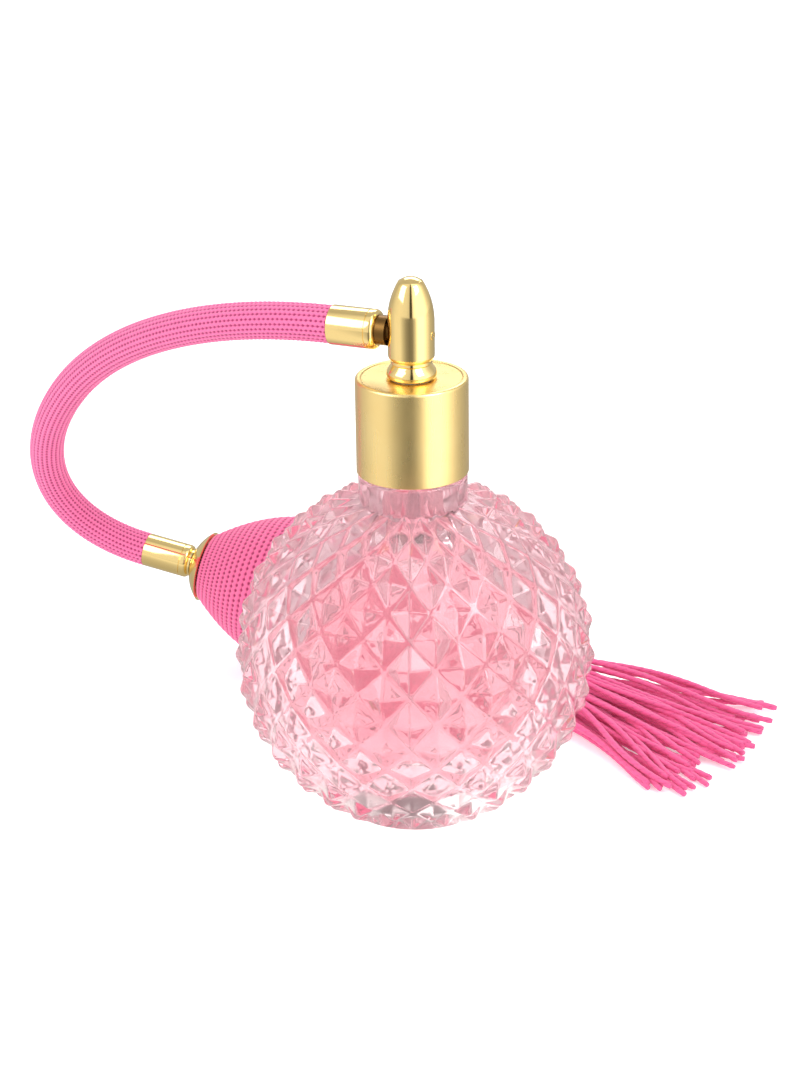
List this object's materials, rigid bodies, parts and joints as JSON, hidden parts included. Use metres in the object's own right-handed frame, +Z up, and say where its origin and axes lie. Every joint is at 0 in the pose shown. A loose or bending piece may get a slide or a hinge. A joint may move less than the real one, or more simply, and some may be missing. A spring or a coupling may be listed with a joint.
{
  "type": "perfume atomiser bottle",
  "caption": "Round pressed-glass perfume atomiser with a screw collar, swivelling spray head, sleeved hose, knit-covered squeeze bulb and tassel.",
  "frame": {"origin": "middle of the bottle's flat base, on the surface it stands on", "axes": "+Z up through the neck, +X to the right of the front view, +Y to the back, where the bulb lies"},
  "size_m": [0.181, 0.1265, 0.1217],
  "materials": {
    "pink_glass": "clear pressed glass with a pale pink tint",
    "gold": "polished gold plate",
    "knit": "fine knitted hot-pink sleeve and cover",
    "cord": "soft hot-pink twisted cord",
    "rubber": "soft rubber",
    "seal": "white sealing rubber",
    "plastic": "natural white plastic",
    "clear_tube": "clear flexible plastic tube",
    "steel": "polished steel"
  },
  "bodies": {
    "glass": {"bottle": "pink_glass"},
    "lift": {"neck_gasket": "seal"},
    "collar": {"collar_shell": "gold", "screw_closure": "plastic"},
    "head": {"swivel_boss": "gold", "head_body": "gold", "stem_core": "plastic", "stem_o_ring": "rubber", "dip_tube": "clear_tube", "nozzle_insert": "gold", "nozzle_core": "plastic", "hose_nipple": "gold", "front_ferrule": "gold", "hose_tube": "rubber", "hose_sleeve": "knit"},
    "bulb": {"rear_ferrule": "gold", "bulb_stem": "gold", "outlet_valve_retainer": "plastic", "bulb_cup": "gold", "bulb_cover": "knit", "intake_valve_body": "gold", "intake_valve_retainer": "plastic", "tassel_loop": "cord"},
    "squeeze": {"bulb_bladder": "rubber"},
    "outlet_valve": {"outlet_valve_ball": "steel"},
    "intake_valve": {"intake_valve_ball": "steel"},
    "tassel": {"tassel_link": "cord", "tassel_head": "cord", "tassel_binding": "cord", "tassel_strands": "cord"}
  },
  "joints": [
    {"name": "unscrew_lift", "type": "slide", "parent": "glass", "child": "lift", "axis": [0, 0, 1], "range_m": [0, 0.006]},
    {"name": "collar_turn", "type": "hinge", "parent": "lift", "child": "collar", "pos_m": [0, 0, 0.0886], "axis": [0, 0, 1], "range_deg": [0, 540]},
    {"name": "head_swivel", "type": "hinge", "parent": "lift", "child": "head", "pos_m": [0, 0, 0.1], "axis": [0, 0, 1], "continuous": true},
    {"name": "hose_flex", "type": "hinge", "parent": "head", "child": "bulb", "pos_m": [-0.087, 0.069, 0.06], "axis": [0, 0, 1], "range_deg": [-3, 25], "stiffness_Nm_per_rad": 0.02, "deforming": ["hose_tube", "hose_sleeve"]},
    {"name": "bulb_squeeze", "type": "slide", "parent": "bulb", "child": "squeeze", "axis": [0, 0, -1], "range_m": [0, 0.01], "stiffness_N_per_m": 400, "deforming": ["bulb_bladder", "bulb_cover"]},
    {"name": "outlet_lift", "type": "slide", "parent": "bulb", "child": "outlet_valve", "axis": [-0.9366, 0.3043, 0.1736], "range_m": [0, 0.001]},
    {"name": "intake_lift", "type": "slide", "parent": "bulb", "child": "intake_valve", "axis": [-0.9366, 0.3043, 0.1736], "range_m": [0, 0.0009]},
    {"name": "tassel_swing", "type": "hinge", "parent": "bulb", "child": "tassel", "pos_m": [0.00876, 0.05558, 0.01332], "axis": [0, 0, 1], "range_deg": [-12, 15]}
  ],
  "couplings": [
    {"joint": "collar_turn", "follows": "unscrew_lift", "rad_per_m": 1570.8},
    {"joint": "outlet_lift", "follows": "bulb_squeeze", "ratio": 0.1}
  ]
}
